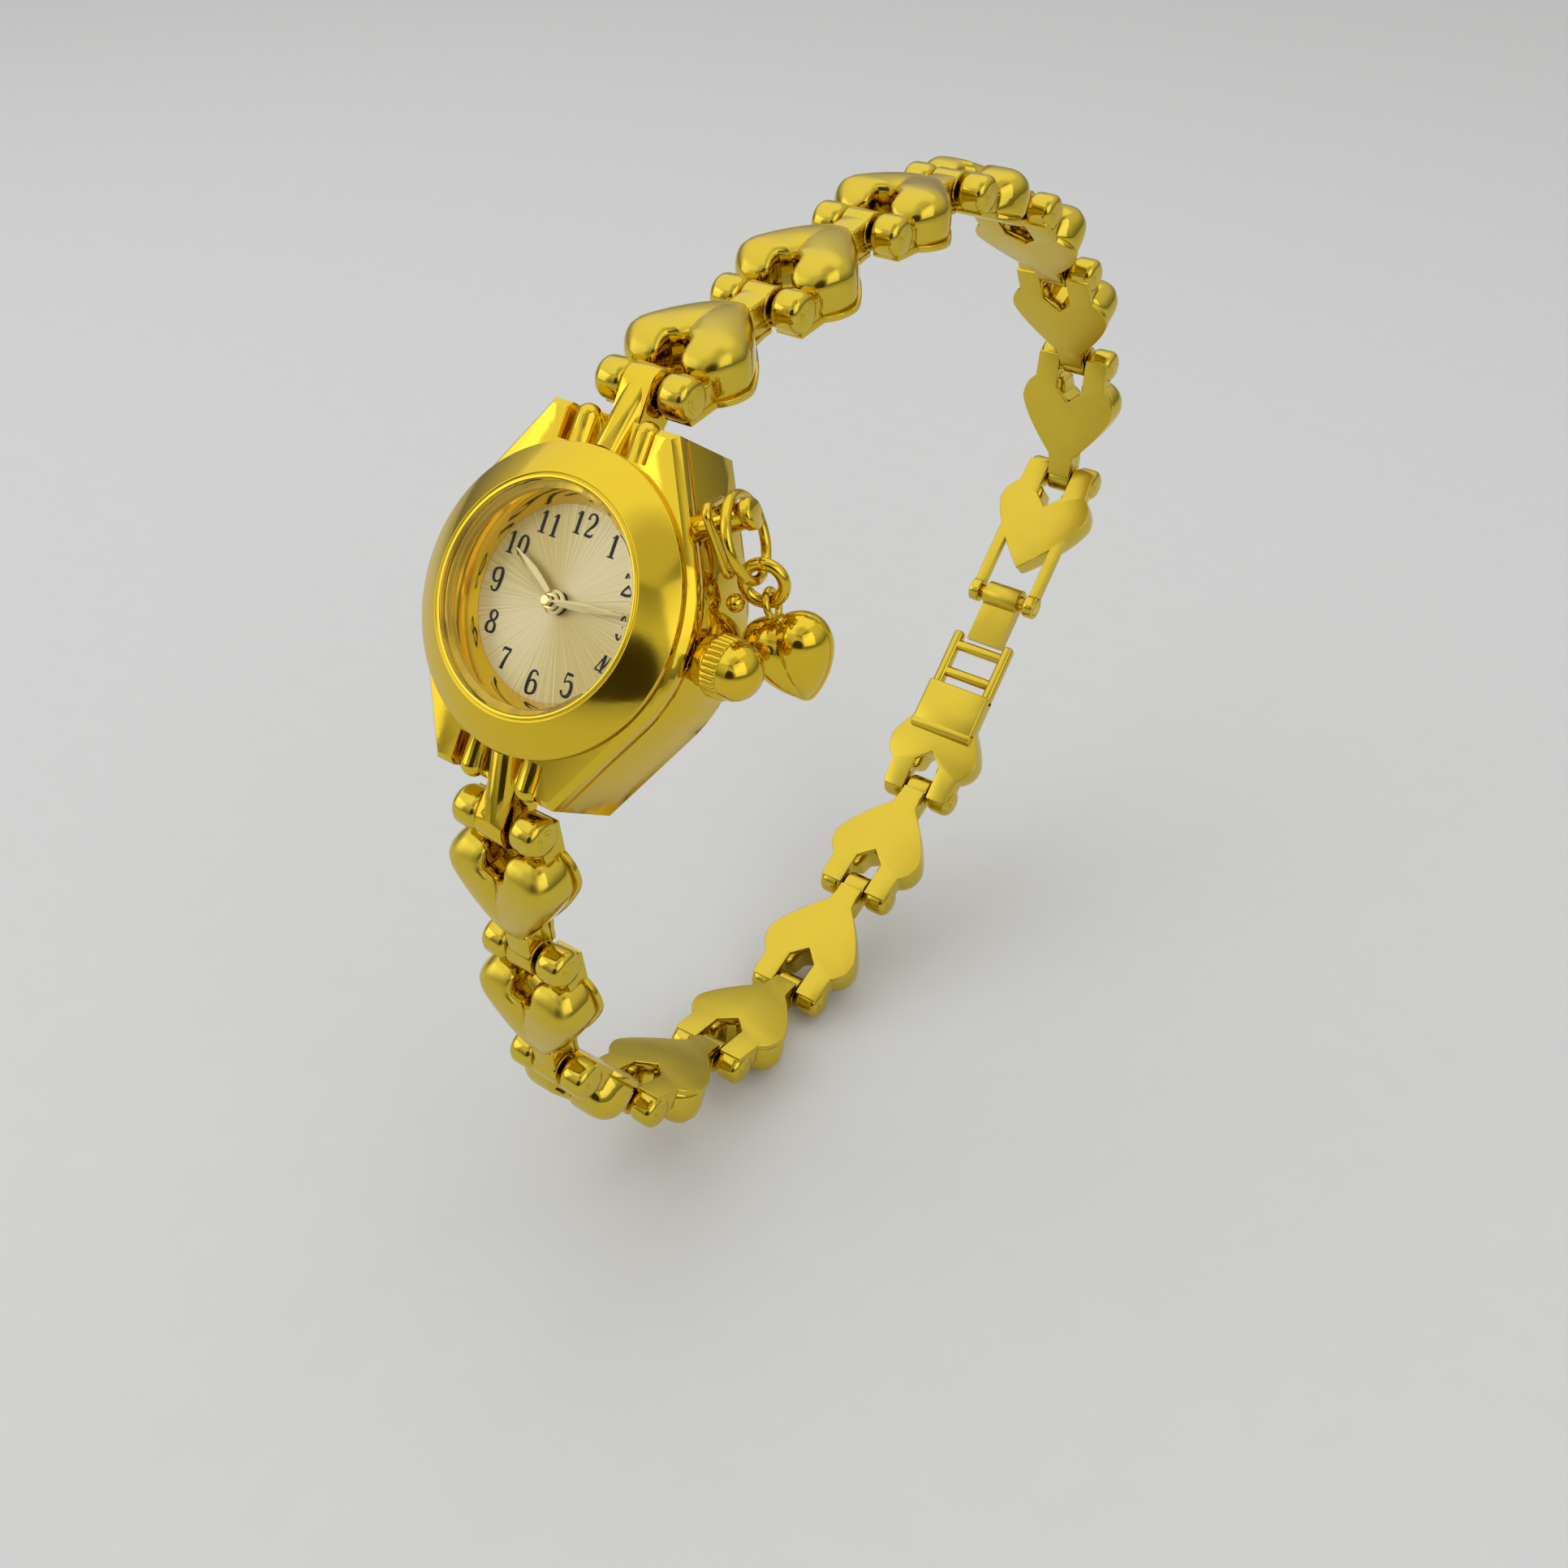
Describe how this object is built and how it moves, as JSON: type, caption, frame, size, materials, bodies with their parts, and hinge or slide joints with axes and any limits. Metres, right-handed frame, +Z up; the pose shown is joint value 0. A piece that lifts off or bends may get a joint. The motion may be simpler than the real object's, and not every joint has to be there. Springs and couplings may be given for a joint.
{
  "type": "bracelet watch",
  "caption": "Small analogue dress watch with a round bezel in a pointed barrel case, on a closed bracelet of puffed heart links, with hanging charms.",
  "frame": {"origin": "centre of the case back's outer flat face", "axes": "+X to 3 o'clock and the crown, +Z up as the watch stands on a display arm, +Y from the dial towards the clasp; the dial leans back 34.5 degrees from upright"},
  "size_m": [0.0223, 0.0708, 0.0607],
  "materials": {
    "polished_gold": "bright gold plate, mirror polished",
    "satin_gold": "gold plate, polished edges and softly brushed faces",
    "case_back_steel": "brushed steel",
    "dial_champagne": "champagne sunray lacquer",
    "crystal": "clear mineral glass",
    "hands_gold": "polished gold",
    "seal_rubber": "black seal rubber",
    "movement_plastic": "off-white movement plastic",
    "board_green": "green circuit board",
    "coil_copper": "copper winding",
    "cell_steel": "plated steel can"
  },
  "bodies": {
    "case": {"battery_cell": "cell_steel", "battery_strap": "case_back_steel", "bezel_ring": "polished_gold", "case_back": "case_back_steel", "case_back_gasket": "seal_rubber", "case_body": "polished_gold", "charm_post": "polished_gold", "circuit_board": "board_green", "crown_gasket": "seal_rubber", "crown_tube": "polished_gold", "crystal": "crystal", "crystal_gasket": "seal_rubber", "dial": "dial_champagne", "motor_coil": "coil_copper", "movement_holder": "movement_plastic", "movement_plate": "movement_plastic", "rehaut_ring": "polished_gold"},
    "upper_link_1": {"upper_link_1": "satin_gold"},
    "upper_link_2": {"upper_link_2": "satin_gold"},
    "upper_link_3": {"upper_link_3": "satin_gold"},
    "upper_link_4": {"upper_link_4": "satin_gold"},
    "upper_link_5": {"upper_link_5": "satin_gold"},
    "upper_link_6": {"upper_link_6": "satin_gold"},
    "upper_link_7": {"upper_link_7": "satin_gold"},
    "upper_end_link": {"upper_end_link": "satin_gold", "clasp_pin": "satin_gold"},
    "lower_link_1": {"lower_link_1": "satin_gold"},
    "lower_link_2": {"lower_link_2": "satin_gold"},
    "lower_link_3": {"lower_link_3": "satin_gold"},
    "lower_link_4": {"lower_link_4": "satin_gold"},
    "lower_link_5": {"lower_link_5": "satin_gold"},
    "lower_link_6": {"lower_link_6": "satin_gold"},
    "lower_link_7": {"lower_link_7": "satin_gold"},
    "lower_end_link": {"lower_end_link": "satin_gold"},
    "clasp_cover": {"clasp_cover": "satin_gold"},
    "crown_slider": {"sliding_clutch": "case_back_steel"},
    "crown": {"crown": "polished_gold", "crown_stem": "case_back_steel"},
    "hour_hand": {"hour_hand": "hands_gold", "hour_wheel": "hands_gold"},
    "minute_hand": {"minute_hand": "hands_gold", "cannon_pinion": "hands_gold"},
    "second_hand": {"second_hand": "hands_gold", "seconds_shaft": "hands_gold"},
    "charm_ring": {"charm_ring": "polished_gold"},
    "jump_ring": {"jump_ring": "polished_gold"},
    "heart_charm": {"heart_charm": "polished_gold"},
    "wire_bail": {"wire_bail": "polished_gold", "bead_charm": "polished_gold"}
  },
  "joints": [
    {"name": "upper_bracelet", "type": "hinge", "parent": "case", "child": "upper_link_1", "pos_m": [0, 0.00339, 0.01253], "axis": [1, 0, 0], "range_deg": [0, 46]},
    {"name": "upper_hinge_2", "type": "hinge", "parent": "upper_link_1", "child": "upper_link_2", "pos_m": [0, 0.01345, 0.01421], "axis": [1, 0, 0], "range_deg": [0, 4]},
    {"name": "upper_hinge_3", "type": "hinge", "parent": "upper_link_2", "child": "upper_link_3", "pos_m": [0, 0.02351, 0.0159], "axis": [1, 0, 0], "range_deg": [0, 9]},
    {"name": "upper_hinge_4", "type": "hinge", "parent": "upper_link_3", "child": "upper_link_4", "pos_m": [0, 0.03371, 0.01599], "axis": [1, 0, 0], "range_deg": [0, 20]},
    {"name": "upper_hinge_5", "type": "hinge", "parent": "upper_link_4", "child": "upper_link_5", "pos_m": [0, 0.04333, 0.01258], "axis": [1, 0, 0], "range_deg": [0, 20]},
    {"name": "upper_hinge_6", "type": "hinge", "parent": "upper_link_5", "child": "upper_link_6", "pos_m": [0, 0.0512, 0.00609], "axis": [1, 0, 0], "range_deg": [0, 19]},
    {"name": "upper_hinge_7", "type": "hinge", "parent": "upper_link_6", "child": "upper_link_7", "pos_m": [0, 0.05653, -0.0026], "axis": [1, 0, 0], "range_deg": [0, 33]},
    {"name": "upper_end_hinge", "type": "hinge", "parent": "upper_link_7", "child": "upper_end_link", "pos_m": [0, 0.05626, -0.0128], "axis": [1, 0, 0], "range_deg": [0, 43.75]},
    {"name": "lower_bracelet", "type": "hinge", "parent": "case", "child": "lower_link_1", "pos_m": [0, -0.01048, -0.00766], "axis": [-1, 0, 0], "range_deg": [0, 39]},
    {"name": "lower_hinge_2", "type": "hinge", "parent": "lower_link_1", "child": "lower_link_2", "pos_m": [0, -0.00968, -0.01783], "axis": [-1, 0, 0], "range_deg": [0, 4]},
    {"name": "lower_hinge_3", "type": "hinge", "parent": "lower_link_2", "child": "lower_link_3", "pos_m": [0, -0.0087, -0.02798], "axis": [-1, 0, 0], "range_deg": [0, 31]},
    {"name": "lower_hinge_4", "type": "hinge", "parent": "lower_link_3", "child": "lower_link_4", "pos_m": [0, -0.00264, -0.03618], "axis": [-1, 0, 0], "range_deg": [0, 31]},
    {"name": "lower_hinge_5", "type": "hinge", "parent": "lower_link_4", "child": "lower_link_5", "pos_m": [0, 0.00679, -0.04008], "axis": [-1, 0, 0], "range_deg": [0, 15]},
    {"name": "lower_hinge_6", "type": "hinge", "parent": "lower_link_5", "child": "lower_link_6", "pos_m": [0, 0.0169, -0.04142], "axis": [-1, 0, 0], "range_deg": [0, 29]},
    {"name": "lower_hinge_7", "type": "hinge", "parent": "lower_link_6", "child": "lower_link_7", "pos_m": [0, 0.02639, -0.03768], "axis": [-1, 0, 0], "range_deg": [0, 4]},
    {"name": "lower_end_hinge", "type": "hinge", "parent": "lower_link_7", "child": "lower_end_link", "pos_m": [0, 0.0356, -0.03329], "axis": [-1, 0, 0], "range_deg": [0, 19.25]},
    {"name": "clasp_cover_open", "type": "hinge", "parent": "upper_end_link", "child": "clasp_cover", "pos_m": [0, 0.04746, -0.0204], "axis": [1, 0, 0], "range_deg": [0, 130]},
    {"name": "crown_pull", "type": "slide", "parent": "case", "child": "crown_slider", "axis": [1, 0, 0], "range_m": [0, 0.0008]},
    {"name": "crown_turn", "type": "hinge", "parent": "crown_slider", "child": "crown", "pos_m": [0.00895, -0.00363, 0.00249], "axis": [1, 0, 0], "continuous": true},
    {"name": "minute_hand_turn", "type": "hinge", "parent": "case", "child": "minute_hand", "pos_m": [0, -0.00478, 0.00329], "axis": [0, 0.8241, -0.5664], "continuous": true},
    {"name": "hour_hand_turn", "type": "hinge", "parent": "case", "child": "hour_hand", "pos_m": [0, -0.00478, 0.00329], "axis": [0, 0.8241, -0.5664], "continuous": true},
    {"name": "second_hand_turn", "type": "hinge", "parent": "case", "child": "second_hand", "pos_m": [0, -0.00478, 0.00329], "axis": [0, 0.8241, -0.5664], "continuous": true},
    {"name": "charm_ring_swing", "type": "hinge", "parent": "case", "child": "charm_ring", "pos_m": [0.00864, -0.0004, 0.00913], "axis": [0.8613, 0.2878, 0.4187], "range_deg": [0, 35]},
    {"name": "jump_ring_swing", "type": "hinge", "parent": "charm_ring", "child": "jump_ring", "pos_m": [0.00953, -0.0001, 0.00665], "axis": [0.8867, 0.2964, 0.3548], "range_deg": [-6, 18]},
    {"name": "heart_charm_swing", "type": "hinge", "parent": "jump_ring", "child": "heart_charm", "pos_m": [0.01007, 0.00008, 0.00516], "axis": [0.3169, -0.9485, 0.0003], "range_deg": [0, 25]},
    {"name": "wire_bail_swing", "type": "hinge", "parent": "case", "child": "wire_bail", "pos_m": [0.0076, -0.00074, 0.00863], "axis": [0.8613, 0.2878, 0.4187], "range_deg": [-10, 0]}
  ],
  "couplings": [
    {"joint": "upper_hinge_2", "follows": "upper_bracelet", "ratio": 0.086957},
    {"joint": "upper_hinge_3", "follows": "upper_bracelet", "ratio": 0.19565},
    {"joint": "upper_hinge_4", "follows": "upper_bracelet", "ratio": 0.43478},
    {"joint": "upper_hinge_5", "follows": "upper_bracelet", "ratio": 0.43478},
    {"joint": "upper_hinge_6", "follows": "upper_bracelet", "ratio": 0.41304},
    {"joint": "upper_hinge_7", "follows": "upper_bracelet", "ratio": 0.71739},
    {"joint": "upper_end_hinge", "follows": "upper_bracelet", "ratio": 0.95109},
    {"joint": "lower_hinge_2", "follows": "lower_bracelet", "ratio": 0.10256},
    {"joint": "lower_hinge_3", "follows": "lower_bracelet", "ratio": 0.79487},
    {"joint": "lower_hinge_4", "follows": "lower_bracelet", "ratio": 0.79487},
    {"joint": "lower_hinge_5", "follows": "lower_bracelet", "ratio": 0.38462},
    {"joint": "lower_hinge_6", "follows": "lower_bracelet", "ratio": 0.74359},
    {"joint": "lower_hinge_7", "follows": "lower_bracelet", "ratio": 0.10256},
    {"joint": "lower_end_hinge", "follows": "lower_bracelet", "ratio": 0.49359},
    {"joint": "hour_hand_turn", "follows": "minute_hand_turn", "ratio": 0.083333}
  ]
}
